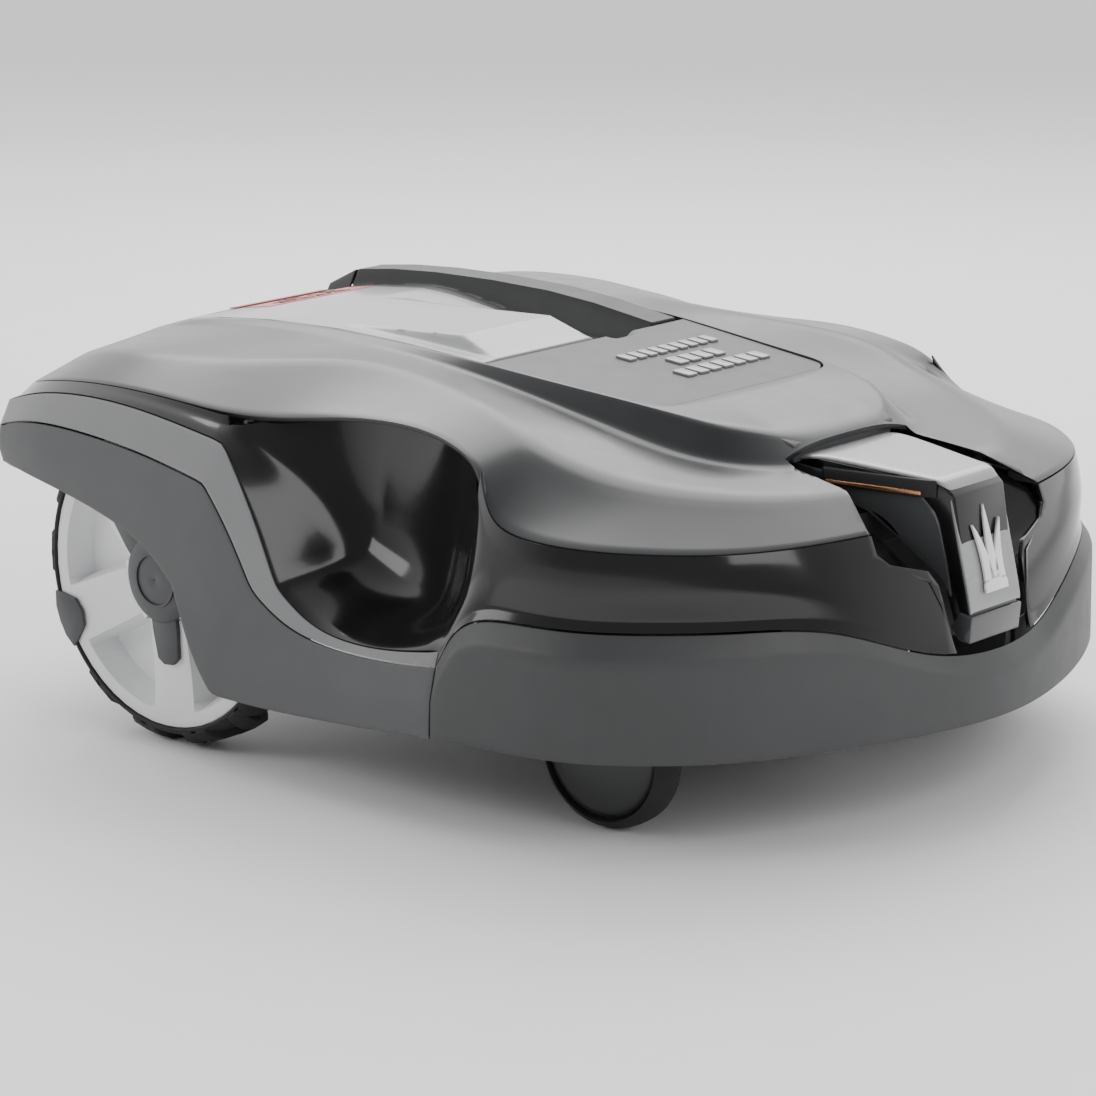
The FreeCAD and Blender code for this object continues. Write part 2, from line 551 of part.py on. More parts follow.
def net_normal(row, rib):
    """The outward normal at a point of the net, the mean of the quads around it."""
    def point(r, k):
        if r < 0:
            twin = NET[1][k]
            return Vector(twin.x, -twin.y, twin.z)
        r = min(r, len(NET) - 1)
        if 0 <= k <= LAST_RIB:
            return NET[r][k]
        twin = NET[r][1 if k < 0 else LAST_RIB - 1]
        return Vector(twin.x, -twin.y, twin.z)
    if row == 0:
        rib = min(max(rib, 1), LAST_RIB - 1)
    here = point(row, rib)
    total = Vector()
    around = [(0, 1), (1, 0), (0, -1), (-1, 0), (0, 1)]
    quads = [(row, rib), (row, rib - 1), (row - 1, rib - 1), (row - 1, rib)]
    for quad, (r1, k1), (r2, k2) in zip(quads, around, around[1:]):
        if quad in UNDER_EAVE:
            continue
        a = point(row + r1, rib + k1) - here
        b = point(row + r2, rib + k2) - here
        total += a.cross(b)
    if row == 0:
        total.y = 0
    return total.normalize()


INNER = [[NET[r][k] - net_normal(r, k) * SIZES["skin"] for k in range(LAST_RIB + 1)]
         for r in range(len(NET))]


def triangles(a, b, c, d):
    """Two flat faces for a four-cornered patch, split so that neither lies in the middle plane."""
    halves = ((a, b, d), (b, c, d)) if a.y == b.y == c.y == 0 else ((a, b, c), (a, c, d))
    for corners in halves:
        if (corners[1] - corners[0]).cross(corners[2] - corners[0]).Length > 1e-4:
            yield Part.Face(Part.makePolygon([*corners, corners[0]]))


def skin_panel(cells, whole):
    """A thick panel over the given cells (row, rib) of the net; whole panels cross the middle."""
    faces = []
    for row, rib in cells:
        for net in (NET, INNER):
            faces += triangles(net[row][rib], net[row][rib + 1], net[row + 1][rib + 1],
                               net[row + 1][rib])
        edges = (((row, rib), (row, rib + 1), (row - 1, rib)),
                 ((row + 1, rib), (row + 1, rib + 1), (row + 1, rib)),
                 ((row, rib), (row + 1, rib), (row, rib - 1)),
                 ((row, rib + 1), (row + 1, rib + 1), (row, rib + 1)))
        for (r1, k1), (r2, k2), neighbour in edges:
            on_middle = (r1 == r2 == 0) or (k1 == k2 and k1 in (0, LAST_RIB))
            if neighbour in cells or (whole and on_middle):
                continue
            faces += triangles(NET[r1][k1], NET[r2][k2], INNER[r2][k2], INNER[r1][k1])
    if whole:
        faces += [face.mirror(Vector(), Vector(0, 1, 0)) for face in faces]
    sewn = Part.makeShell(faces)
    sewn.sewShape()
    solid = Part.makeSolid(Part.Shell(sewn.Faces))
    if solid.Volume < 0:
        solid.reverse()
    return solid


def cells(first_row, last_row, first_rib=0, last_rib=LAST_RIB):
    return {(r, k) for r in range(ROW[first_row], ROW[last_row])
            for k in range(first_rib, last_rib)}


def feature(name, shape):
    thing = doc.addObject("Part::Feature", name)
    thing.Shape = shape
    thing.Placement = Placement()
    return thing


def snout_slot():
    half = [(60, 240), (60, 199), (70, 189), (84, 176), (84, 164), (76, 157), (48, 149), (42, 140),
            (36, 90)]
    slot = half + [(-y, z) for y, z in reversed(half)]
    slab = prism("YZ_Plane", slot, 150)
    place(slab, 270, 0, 0)
    return slab


def deck_hole():
    plan = [("stop_rear - lid_gap", "stop_half + lid_gap"), ("hatch_rear", "hatch_rear_half + lid_gap"),
            ("hatch_front - 9", "hatch_front_half + 2 * lid_gap"),
            ("hatch_front + lid_gap", "hatch_front_half - 9"),
            ("hatch_front + lid_gap", "9 - hatch_front_half"),
            ("hatch_front - 9", "-hatch_front_half - 2 * lid_gap"),
            ("hatch_rear", "-hatch_rear_half - lid_gap"),
            ("stop_rear - lid_gap", "-stop_half - lid_gap")]
    return prism("XY_Plane", plan, 600)


def make_shell():
    cover = feature("Cover", skin_panel(cells("middle", "cover_edge"), whole=True))
    keep(cut(cover, deck_hole(), snout_slot()), "top_cover")

    walls = cells("cover_edge", "band_top") - UNDER_EAVE
    walls |= cells("band_top", "skirt_foot", 0, FENDER_REAR)
    walls |= cells("band_top", "skirt_top", SEAM)
    body = feature("Walls", skin_panel(walls, whole=True))
    keep(cut(body, snout_slot()), "body_shell")
    keep(feature("Bumper", skin_panel(cells("skirt_top", "skirt_foot", SEAM), whole=True)),
         "front_bumper")
    band = feature("Band", skin_panel(cells("band_top", "skirt_top", FENDER_REAR, SEAM), whole=False))
    both_sides(band, "side_band")
    fender = feature("Fender", skin_panel(cells("skirt_top", "skirt_foot", FENDER_REAR, SEAM),
                                          whole=False))
    both_sides(fender, "fender")
    label = doc.addObject("Part::Box", "Label")
    bind(label, Length=8, Width=110, Height=1)
    label.Placement = Placement(Vector(-284, -70, 229.25), Rotation(Vector(0, 1, 0), -10))
    keep(label, "stop_label")


def write_parts():
    doc.recompute()
    for thing in doc.Objects:
        if "Invalid" in thing.State or "Error" in thing.State:
            raise RuntimeError(f"{thing.Label} did not build: {thing.State}")
    os.makedirs("parts", exist_ok=True)
    for thing in PARTS:
        if thing.Shape.isNull() or not thing.Shape.isValid() or not thing.Shape.Solids:
            raise RuntimeError(f"{thing.Label} has no valid solid")
        thing.Shape.exportStep(f"parts/{thing.Label}.step")
        print(f"{thing.Label:24s} solids {len(thing.Shape.Solids):3d}  volume {thing.Shape.Volume:12.1f}")
    print(len(PARTS), "sub-parts")


make_chassis()
make_insides()
make_drive()
make_casters()
make_cutting_unit()
make_controls()
make_posts()
make_snout()
make_hatch()
make_stop_button()
make_shell()
write_parts()
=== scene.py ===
"""Robotic lawn mower: the visual model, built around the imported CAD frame."""

import math

import bmesh
import bpy
from mathutils import Matrix, Vector


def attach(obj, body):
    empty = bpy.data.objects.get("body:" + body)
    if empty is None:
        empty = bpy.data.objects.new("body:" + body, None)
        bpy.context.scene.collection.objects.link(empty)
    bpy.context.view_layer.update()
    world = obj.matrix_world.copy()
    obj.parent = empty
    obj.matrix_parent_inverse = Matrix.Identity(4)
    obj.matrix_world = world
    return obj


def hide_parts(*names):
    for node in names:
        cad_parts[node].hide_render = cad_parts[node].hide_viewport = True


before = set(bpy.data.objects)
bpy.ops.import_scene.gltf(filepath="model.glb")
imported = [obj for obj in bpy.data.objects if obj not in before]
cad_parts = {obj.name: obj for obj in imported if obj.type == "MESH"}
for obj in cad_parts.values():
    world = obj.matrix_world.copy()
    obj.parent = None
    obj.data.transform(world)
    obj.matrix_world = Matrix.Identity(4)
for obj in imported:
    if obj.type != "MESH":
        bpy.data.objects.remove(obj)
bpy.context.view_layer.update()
MM = 0.001
SIDES = (("left", 1), ("right", -1))


# --- materials ------------------------------------------------------------------------------------

def surface(name, colour, rough=0.5, rough_spread=0.08, shade=0.08, grain=0.0, grain_size=900,
            metallic=0.0, coat=0.0, coat_rough=0.08, specular=0.5, wave=None):
    """A procedural surface: cloudy colour and roughness, fine grain and soft unevenness."""
    mat = bpy.data.materials.new(name)
    mat.use_nodes = True
    nodes, links = mat.node_tree.nodes, mat.node_tree.links
    shader = nodes["Principled BSDF"]
    shader.inputs["Metallic"].default_value = metallic
    shader.inputs["Specular IOR Level"].default_value = specular
    shader.inputs["Coat Weight"].default_value = coat
    shader.inputs["Coat Roughness"].default_value = coat_rough
    place = nodes.new("ShaderNodeTexCoord")

    cloud = nodes.new("ShaderNodeTexNoise")
    cloud.inputs["Scale"].default_value = 14
    cloud.inputs["Detail"].default_value = 5
    links.new(place.outputs["Object"], cloud.inputs["Vector"])
    tint = nodes.new("ShaderNodeValToRGB")
    low = [c * (1 - shade) for c in colour]
    high = [min(1, c * (1 + shade)) for c in colour]
    tint.color_ramp.elements[0].color = (*low, 1)
    tint.color_ramp.elements[1].color = (*high, 1)
    tint.color_ramp.elements[0].position = 0.3
    tint.color_ramp.elements[1].position = 0.7
    links.new(cloud.outputs["Fac"], tint.inputs["Fac"])
    links.new(tint.outputs["Color"], shader.inputs["Base Color"])

    scuff = nodes.new("ShaderNodeTexNoise")
    scuff.inputs["Scale"].default_value = 60
    scuff.inputs["Detail"].default_value = 6
    links.new(place.outputs["Object"], scuff.inputs["Vector"])
    spread = nodes.new("ShaderNodeMapRange")
    spread.inputs["To Min"].default_value = max(0.02, rough - rough_spread)
    spread.inputs["To Max"].default_value = min(1.0, rough + rough_spread)
    links.new(scuff.outputs["Fac"], spread.inputs["Value"])
    links.new(spread.outputs["Result"], shader.inputs["Roughness"])

    bump = nodes.new("ShaderNodeBump")
    bump.inputs["Strength"].default_value = grain
    bump.inputs["Distance"].default_value = 0.0004
    if wave:
        pattern = nodes.new("ShaderNodeTexWave")
        pattern.bands_direction = wave
        pattern.inputs["Scale"].default_value = grain_size
        pattern.inputs["Distortion"].default_value = 0.6
    else:
        pattern = nodes.new("ShaderNodeTexNoise")
        pattern.inputs["Scale"].default_value = grain_size
        pattern.inputs["Detail"].default_value = 3
    links.new(place.outputs["Object"], pattern.inputs["Vector"])
    links.new(pattern.outputs["Fac"], bump.inputs["Height"])
    links.new(bump.outputs["Normal"], shader.inputs["Normal"])
    return mat


COVER = surface("cover_plastic", (0.03, 0.031, 0.033), 0.24, 0.05, 0.05, 0.02, specular=0.3)
BODY = surface("body_plastic", (0.012, 0.012, 0.013), 0.13, 0.03, 0.05, 0.01, coat=0.15,
               coat_rough=0.05, specular=0.4)
FENDER = surface("fender_plastic", (0.075, 0.076, 0.079), 0.55, 0.08, 0.05, 0.25, 1500)
BAND = surface("band_plastic", (0.2, 0.202, 0.207), 0.4, 0.06, 0.04, 0.1, 1500)
BUMPER = surface("bumper_plastic", (0.048, 0.049, 0.051), 0.5, 0.08, 0.06, 0.3, 1300)
HATCH = surface("hatch_plastic", (0.085, 0.086, 0.089), 0.45, 0.06, 0.05, 0.2, 1500, specular=0.3)
LID = surface("stop_plastic", (0.36, 0.365, 0.37), 0.3, 0.05, 0.04, 0.05, coat=0.3)
RIDGE = surface("ridge_plastic", (0.02, 0.021, 0.022), 0.45, 0.06, 0.05, 0.15, 1500, specular=0.3)
RED = surface("stop_print", (0.6, 0.16, 0.15), 0.4, 0.06, 0.06, 0.05)
RED_DARK = surface("stop_letters", (0.3, 0.02, 0.02), 0.45, 0.06, 0.06, 0.05)
SILVER = surface("snout_plastic", (0.3, 0.303, 0.31), 0.26, 0.05, 0.04, 0.04, coat=0.35)
SNOUT_GREY = surface("snout_side_plastic", (0.07, 0.071, 0.075), 0.18, 0.04, 0.05, 0.02, coat=0.4)
BLACK_GLOSS = surface("snout_black", (0.006, 0.006, 0.007), 0.2, 0.04, 0.08, 0.02, coat=0.2)
WHITE = surface("badge_white", (0.85, 0.85, 0.85), 0.32, 0.05, 0.02, 0.03, coat=0.2)
RIM = surface("rim_white", (0.74, 0.745, 0.755), 0.34, 0.06, 0.03, 0.06, 1400)
RUBBER = surface("tyre_rubber", (0.014, 0.014, 0.015), 0.72, 0.1, 0.2, 0.5, 900)
CAP = surface("cap_plastic", (0.045, 0.046, 0.049), 0.42, 0.07, 0.06, 0.2, 1300)
CASTER = surface("caster_plastic", (0.03, 0.031, 0.033), 0.38, 0.08, 0.08, 0.15, 1200)
BLACK = surface("chassis_plastic", (0.01, 0.01, 0.011), 0.6, 0.1, 0.12, 0.35, 1000)
STEEL = surface("steel", (0.55, 0.55, 0.56), 0.28, 0.08, 0.06, 0.15, 700, metallic=1, wave="X")
COPPER = surface("copper", (0.72, 0.36, 0.2), 0.26, 0.08, 0.12, 0.12, 900, metallic=1, wave="X")
BATTERY = surface("battery_case", (0.03, 0.06, 0.14), 0.5, 0.08, 0.08, 0.2)
BOARD = surface("circuit_board", (0.015, 0.16, 0.06), 0.35, 0.08, 0.25, 0.3, 400)
GLASS = surface("display_glass", (0.16, 0.2, 0.17), 0.06, 0.02, 0.06, 0.0, coat=0.6)
KEY_RUBBER = surface("keypad_rubber", (0.05, 0.05, 0.052), 0.7, 0.08, 0.1, 0.4)
GREEN = surface("green_key", (0.05, 0.3, 0.09), 0.45, 0.06, 0.06, 0.2)
GREY_KEY = surface("grey_key", (0.36, 0.36, 0.37), 0.45, 0.06, 0.05, 0.2)
ORANGE = surface("orange_knob", (0.7, 0.22, 0.03), 0.42, 0.06, 0.05, 0.2)
FLOOR = surface("studio_floor", (0.95, 0.95, 0.95), 0.8, 0.05, 0.01, 0.0)

NODE_MATERIALS = {
    BLACK: ["lower_chassis", "upper_chassis", "battery_cover", "blade_motor_housing", "blade_disc",
            "display_unit", "wheel_gearmotor_left", "wheel_gearmotor_right", "caster_arm_left",
            "caster_arm_right"],
    KEY_RUBBER: ["chassis_seal", "keypad_mat", "joystick_posts", "joystick_sockets"],
    STEEL: ["chassis_screws", "blade_motor", "blade_1", "blade_2", "blade_3", "blade_screws",
            "skid_plate_bearing", "hatch_hinge_pin", "wheel_axle_left", "wheel_axle_right",
            "caster_axle_left", "caster_axle_right"],
    BATTERY: ["battery_pack"], BOARD: ["main_circuit_board"], GLASS: ["display_window"],
    GREEN: ["start_button"], GREY_KEY: ["home_button", "ok_button", "power_button"],
    ORANGE: ["height_dial", "main_switch"], FENDER: ["skid_plate"],
}
for material, names in NODE_MATERIALS.items():
    for name in names:
        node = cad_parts[name]
        node.data.materials.clear()
        node.data.materials.append(material)


# --- mesh helpers ---------------------------------------------------------------------------------

def settled(thing):
    """The object's mesh with its modifiers worked in."""
    bpy.context.view_layer.update()
    graph = bpy.context.evaluated_depsgraph_get()
    made = bpy.data.meshes.new_from_object(thing.evaluated_get(graph))
    thing.modifiers.clear()
    old = thing.data
    thing.data = made
    bpy.data.meshes.remove(old)


def mesh_object(name, bm, material=None):
    """Put a bmesh, as it is, into the scene as an object of its own."""
    mesh = bpy.data.meshes.new(name)
    bm.to_mesh(mesh)
    bm.free()
    if material:
        mesh.materials.append(material)
    thing = bpy.data.objects.new(name, mesh)
    bpy.context.scene.collection.objects.link(thing)
    return thing


def piece(name, bm, body, material, replaces=(), smooth=35):
    """Turn a bmesh in millimetres into an object that rides on a body."""
    bmesh.ops.recalc_face_normals(bm, faces=bm.faces)
    bmesh.ops.scale(bm, vec=(MM, MM, MM), verts=bm.verts)
    thing = mesh_object(name, bm, material)
    finish_shading(thing, smooth)
    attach(thing, body)
    if replaces:
        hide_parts(*replaces)
    return thing


def finish_shading(thing, smooth=35):
    """Shade smoothly, but keep edges sharper than the given degrees crisp."""
    for face in thing.data.polygons:
        face.use_smooth = True
    thing.data.set_sharp_from_angle(angle=math.radians(smooth))


def bevelled(thing, width, segments=2, angle=30):
    """Round the object's edges off by a width in millimetres."""
    bevel = thing.modifiers.new("edge", "BEVEL")
    bevel.width = width * MM
    bevel.segments = segments
    bevel.limit_method = "ANGLE"
    bevel.angle_limit = math.radians(angle)
    bevel.harden_normals = False
    settled(thing)
    finish_shading(thing, 45)
    return thing


def add_wall(thing, thickness, facing=1):
    """Thicken a sheet inwards; facing is positive where its faces already look outwards."""
    wall = thing.modifiers.new("wall", "SOLIDIFY")
    wall.thickness = thickness * MM
    wall.offset = -1 if facing > 0 else 1


def grid_faces(bm, rows, close=False):
    """Quads between rows of points of the same length; close joins the last column to the first."""
    verts = [[bm.verts.new(p) for p in row] for row in rows]
    for upper, lower in zip(verts, verts[1:]):
        count = len(upper)
        for i in range(count if close else count - 1):
            j = (i + 1) % count
            bm.faces.new((upper[i], upper[j], lower[j], lower[i]))
    return verts


def loop_faces(bm, one, two):
    """Quads all the way round between two matching loops of vertices."""
    count = len(one)
    for i in range(count):
        j = (i + 1) % count
        bm.faces.new((one[i], one[j], two[j], two[i]))


def block_faces(bm, one, two):
    """A closed block between two matching end outlines."""
    bm.faces.new(one)
    bm.faces.new(two)
    loop_faces(bm, one, two)


def closed_sheet(top_rows, low_rows):
    """A closed plate between two grids of points."""
    bm = bmesh.new()
    top, low = grid_faces(bm, top_rows), grid_faces(bm, low_rows)
    borders = [([r[0] for r in top], [r[0] for r in low]),
               ([r[-1] for r in top], [r[-1] for r in low]),
               (top[0], low[0]), (top[-1], low[-1])]
    for upper, lower in borders:
        for i in range(len(upper) - 1):
            bm.faces.new((upper[i], upper[i + 1], lower[i + 1], lower[i]))
    return bm


def turned(profile, centre, side=1, steps=96):
    """A closed ring turned about Y: profile is a loop of (radius, outward distance)."""
    bm = bmesh.new()
    rows = []
    for i in range(steps):
        turn = 2 * math.pi * i / steps
        rows.append([(centre[0] + r * math.cos(turn), centre[1] + side * y,
                      centre[2] + r * math.sin(turn)) for r, y in profile])
    verts = [[bm.verts.new(p) for p in row] for row in rows]
    count = len(profile)
    for i in range(steps):
        for j in range(count):
            a, b = verts[i], verts[(i + 1) % steps]
            bm.faces.new((a[j], a[(j + 1) % count], b[(j + 1) % count], b[j]))
    return bm


def slab(outline, thickness, matrix=None):
    """A flat outline in the XY plane, raised by a thickness and then set in place."""
    bm = bmesh.new()
    low = [bm.verts.new((x, y, 0)) for x, y in outline]
    high = [bm.verts.new((x, y, thickness)) for x, y in outline]
    block_faces(bm, low, high)
    if matrix:
        bm.transform(matrix)
    return bm


def merge(target, extra):
    """Add one bmesh to another."""
    mesh = bpy.data.meshes.new("extra")
    extra.to_mesh(mesh)
    extra.free()
    target.from_mesh(mesh)
    bpy.data.meshes.remove(mesh)
    return target


def unit(value):
    """The value kept between 0 and 1."""
    return min(max(value, 0), 1)


def smoothstep(low, high, value):
    """An eased step from 0 at low to 1 at high."""
    share = unit((value - low) / (high - low))
    return share * share * (3 - 2 * share)


def spread(low, high, count):
    """Evenly spaced values from low to high, both ends included."""
    return [low + (high - low) * i / count for i in range(count + 1)]


def line_height(line, x):
    """The height at x of a line through points (x, z)."""
    for (x1, z1), (x2, z2) in zip(line, line[1:]):
        if x <= x2:
            break
    return z1 + (z2 - z1) * (x - x1) / (x2 - x1)


# --- shell ----------------------------------------------------------------------------------------
# The same net of ribs and rows as the frame's shell.  Ribs run out from the deck and down to the
# skirt, and follow each other from the rear middle round the left side to the front middle.

ROWS = {
    "deck_hole": [(-273, 0, 231.2), (-273, 58, 231.2), (-273, 96, 231), (-262, 96, 233.2),
                  (-243, 96, 236.4), (-197, 96, 241), (-136, 96, 243), (-95, 96, 242.2),
                  (-62, 96, 241), (-18, 96.5, 238.6), (35, 92.5, 233.8), (72, 89, 230.6),
                  (95, 87, 228.6), (110, 86, 227.2), (120.5, 76, 226), (120.5, 60, 226),
                  (120.5, 45, 226), (120.5, 32, 226), (120.5, 20, 226), (120.5, 10, 226),
                  (120.5, 0, 226)],
    "deck_edge": [(-285, 0, 229), (-284, 60, 229), (-282, 100, 228), (-268, 104, 232),
                  (-245, 102, 236), (-197, 100, 241), (-136, 100, 243), (-95, 100, 242),
                  (-62, 100, 241), (-20, 98, 239), (35, 94, 233.5), (72, 91, 230.5), (95, 89, 228.5),
                  (112, 88, 227), (140, 83, 223.5), (162, 77, 220), (175, 60, 217), (183, 47, 214),
                  (187, 32, 213), (188, 16, 213), (188, 0, 213)],
    "deck_foot": [(-293, 0, 226), (-293, 64, 226), (-290, 110, 225), (-274, 115, 229),
                  (-248, 112, 233), (-197, 110, 239), (-136, 110, 241), (-95, 110, 240),
                  (-62, 108, 239), (-20, 106, 234), (35, 104, 225), (72, 103, 218), (95, 102, 214),
                  (112, 102, 211), (145, 100, 205), (172, 92, 201.5), (190, 78, 199.5), (202, 62, 198),
                  (209, 46, 198), (212, 24, 198), (212, 0, 198)],
    "crease": [(-303, 0, 219), (-303, 90, 218), (-298, 150, 215), (-284, 178, 220), (-251, 186, 228),
               (-205, 190, 232.5), (-148, 187, 233), (-116, 165, 235.5), (-76, 141, 239),
               (-20, 141, 236), (38, 155, 232), (70, 168, 226), (94, 174, 219), (112, 176, 213),
               (150, 170, 204), (188, 152, 199), (215, 130, 196), (232, 106, 194), (243, 80, 193),
               (250, 42, 192), (252, 0, 192)],
    "cover_edge": [(-313, 0, 203), (-313, 110, 202), (-306, 188, 200), (-290, 219, 206),
                   (-252, 230, 215), (-205, 233, 220), (-148, 233, 219.5), (-96, 228, 214),
                   (-62, 212, 214), (-14, 206, 222), (38, 206, 224), (76, 212, 218), (100, 220, 209),
                   (116, 232, 182), (150, 234, 178), (187, 225, 177), (219, 202, 176), (247, 172, 175),
                   (269, 122, 175), (282, 52, 175), (285, 0, 175)],
    "inset_top": [(-315, 0, 198), (-315, 113, 197), (-308, 192, 195), (-291, 223, 203),
                  (-253, 233, 213), (-205, 236, 218), (-149, 236.5, 217), (-92, 232, 209),
                  (-52, 190, 216.5), (-18, 182, 224), (38, 181, 223), (74, 194, 216.5),
                  (101, 225, 193), (117, 234, 170), (150, 236, 168), (188, 227, 168), (220, 204, 168),
                  (249, 173, 168), (272, 122, 167), (288, 54, 160), (291, 0, 160)],
    "inset_foot": [(-316, 0, 194), (-316, 116, 193), (-309, 197, 191), (-292, 227, 200),
                   (-254, 236, 211), (-205, 239, 216), (-150, 241, 214.5), (-89, 239, 206),
                   (-42, 196, 172), (-19, 184, 130), (10, 183, 122), (60, 194, 114), (96, 234, 136),
                   (114, 237, 152), (150, 238, 152), (188, 229, 152), (222, 205, 152), (252, 174, 152),
                   (278, 123, 150), (296, 56, 130), (301, 0, 130)],
    "band_top": [(-317, 0, 190), (-317, 119, 189), (-310, 202, 187), (-293, 231, 197),
                 (-255, 239, 209), (-205, 242, 214), (-150, 244, 212), (-86, 244, 202),
                 (-59, 247, 165), (-39, 248, 122), (-8, 248, 99), (45, 248, 98), (93, 248, 107),
                 (109, 240, 138), (150, 237, 138), (186, 229, 138), (218, 203, 138), (250, 172, 138),
                 (281, 123, 137), (300, 57, 106), (308, 0, 106)],
    "skirt_top": [(-318.5, 0, 172), (-318.5, 124, 171), (-312, 208, 170), (-295, 238, 181),
                  (-258, 246, 191.5), (-205, 248, 191), (-150, 249, 186), (-98, 250, 176),
                  (-78, 250, 152), (-58, 250, 117), (-25, 250, 94), (45, 250, 92), (92, 250, 98),
                  (106, 245, 131), (150, 239, 131), (185, 231, 131), (218, 206, 131), (251, 173, 131),
                  (282, 125, 131), (301, 58, 99), (313, 0, 97)],
    "skirt_wide": [(-318.5, 0, 152), (-318.5, 124, 152), (-312, 208, 152), (-296, 239, 168),
                   (-258, 249, 174), (-205, 251, 170), (-150, 251, 160), (-112, 252, 142),
                   (-93, 253, 110), (-74, 253, 82), (-32, 254, 69), (42, 254, 72), (92, 255, 78),
                   (106, 254, 118), (150, 249, 118), (188, 241, 118), (225, 213, 118), (258, 178, 118),
                   (292, 116, 117), (311, 51, 86), (318.5, 0, 84)],
    "skirt_foot": [(-317, 0, 138), (-317, 122, 138), (-310, 206, 138), (-292, 239, 158),
                   (-258, 250, 156), (-205, 252, 148), (-150, 252, 132), (-124, 253, 108),
                   (-108, 254, 66), (-90, 255, 46), (-40, 256, 46), (38, 256, 51), (92, 256, 56),
                   (106, 256, 57), (150, 252, 57), (188, 243, 57), (225, 216, 57), (259, 180, 57),
                   (294, 106, 57), (312, 44, 57), (317, 0, 57)],
}
NET = list(ROWS.values())
ROW = {name: index for index, name in enumerate(ROWS)}
LAST_RIB = len(NET[0]) - 1
FENDER_REAR, SEAM = 3, 12
SCOOP = range(7, 12)
ROW_CREASE = {"deck_edge": 0.85, "deck_foot": 0.6, "crease": 0.8, "inset_top": 0.3,
              "inset_foot": 0.25, "band_top": 0.85, "skirt_top": 0.9, "skirt_wide": 0.85}
RIB_CREASE = {7: 0.6, 9: 0.45}
SKIN = 2.5
GAP = 0.7
SMOOTH_LEVELS = 3
SLOT_HALF = [(60, 240), (60, 199), (70, 189), (84, 176), (84, 164), (76, 157), (48, 149), (42, 140),
             (36, 90)]
SLOT_REACH = (195, 345)


def cells(first_row, last_row, first_rib=0, last_rib=LAST_RIB):
    """The net's quads between two rows and two ribs."""
    return {(r, k) for r in range(ROW[first_row], ROW[last_row])
            for k in range(first_rib, last_rib)}


def cage(chosen, hands):
    """The chosen quads of the net on the given sides, with soft creases along its rows."""
    bm = bmesh.new()
    crease = bm.edges.layers.float.new("crease_edge")
    made = {}

    def vert(row, rib, hand):
        x, y, z = NET[row][rib]
        key = (row, rib, hand if y else 0)
        if key not in made:
            made[key] = bm.verts.new((x, hand * y, z))
        return made[key]

    for row, rib in sorted(chosen):
        for hand in hands:
            quad = [vert(row, rib, hand), vert(row, rib + 1, hand),
                    vert(row + 1, rib + 1, hand), vert(row + 1, rib, hand)]
            bm.faces.new(quad if hand < 0 else quad[::-1])
    weights = {ROW[name]: weight for name, weight in ROW_CREASE.items()}
    spot = {v: key for key, v in made.items()}
    for edge in bm.edges:
        (row_a, rib_a, _), (row_b, rib_b, _) = (spot[v] for v in edge.verts)
        if row_a == row_b:
            edge[crease] = weights.get(row_a, 0)
        elif min(row_a, row_b) >= ROW["cover_edge"]:
            edge[crease] = RIB_CREASE.get(rib_a, 0)
    return bm


def slot_cutter():
    """The opening in the shell that the snout stands in, as a closed block."""
    outline = SLOT_HALF + [(-y, z) for y, z in SLOT_HALF[::-1]]
    bm = bmesh.new()
    block_faces(bm, *([bm.verts.new((x * MM, y * MM, z * MM)) for y, z in outline]
                      for x in SLOT_REACH))
    bmesh.ops.recalc_face_normals(bm, faces=bm.faces)
    return mesh_object("slot", bm)


def panel(name, chosen, hands, material, nodes, gap=GAP, cutter=None):
    """A smooth skin over the cage, drawn in a little at its borders, thickened and edged."""
    bm = cage(chosen, hands)
    bmesh.ops.scale(bm, vec=(MM, MM, MM), verts=bm.verts)
    thing = mesh_object(name, bm, material)
    smooth = thing.modifiers.new("smooth", "SUBSURF")
    smooth.levels = SMOOTH_LEVELS
    smooth.render_levels = SMOOTH_LEVELS
    smooth.boundary_smooth = "PRESERVE_CORNERS"
    settled(thing)

    bm = bmesh.new()
    bm.from_mesh(thing.data)
    bmesh.ops.recalc_face_normals(bm, faces=bm.faces)
    moves = {}
    for v in bm.verts:
        if v.is_boundary:
            inner = [e.other_vert(v).co for e in v.link_edges if not e.is_boundary]
            if inner:
                way = sum(inner, Vector()) / len(inner) - v.co
                moves[v] = way.normalized() * min(gap * MM, way.length * 0.8)
    for v, move in moves.items():
        v.co += move
    bm.to_mesh(thing.data)
    bm.free()
    add_wall(thing, SKIN)
    if cutter:
        opening = thing.modifiers.new("opening", "BOOLEAN")
        opening.operation = "DIFFERENCE"
        opening.solver = "EXACT"
        opening.object = cutter
    settled(thing)
    bevelled(thing, 0.5, 2, 60)
    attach(thing, "shell")
    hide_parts(*nodes)
    return thing


slot_block = slot_cutter()
panel("cover_skin", cells("deck_hole", "cover_edge"), (1, -1), COVER, ["top_cover"],
      cutter=slot_block)
walls = cells("cover_edge", "band_top") - {(ROW["cover_edge"], rib) for rib in SCOOP}
walls |= cells("band_top", "skirt_foot", 0, FENDER_REAR)
walls |= cells("band_top", "skirt_top", SEAM)
panel("body_skin", walls, (1, -1), BODY, ["body_shell"], cutter=slot_block)
bpy.data.objects.remove(slot_block)
panel("bumper_skin", cells("skirt_top", "skirt_foot", SEAM), (1, -1), BUMPER, ["front_bumper"])
for side, hand in SIDES:
    panel(f"band_skin_{side}", cells("band_top", "skirt_top", FENDER_REAR, SEAM), (hand,), BAND,
          [f"side_band_{side}"])
    panel(f"fender_skin_{side}", cells("skirt_top", "skirt_foot", FENDER_REAR, SEAM), (hand,),
          FENDER, [f"fender_{side}"])


# --- deck: stop button and hatch ------------------------------------------------------------------

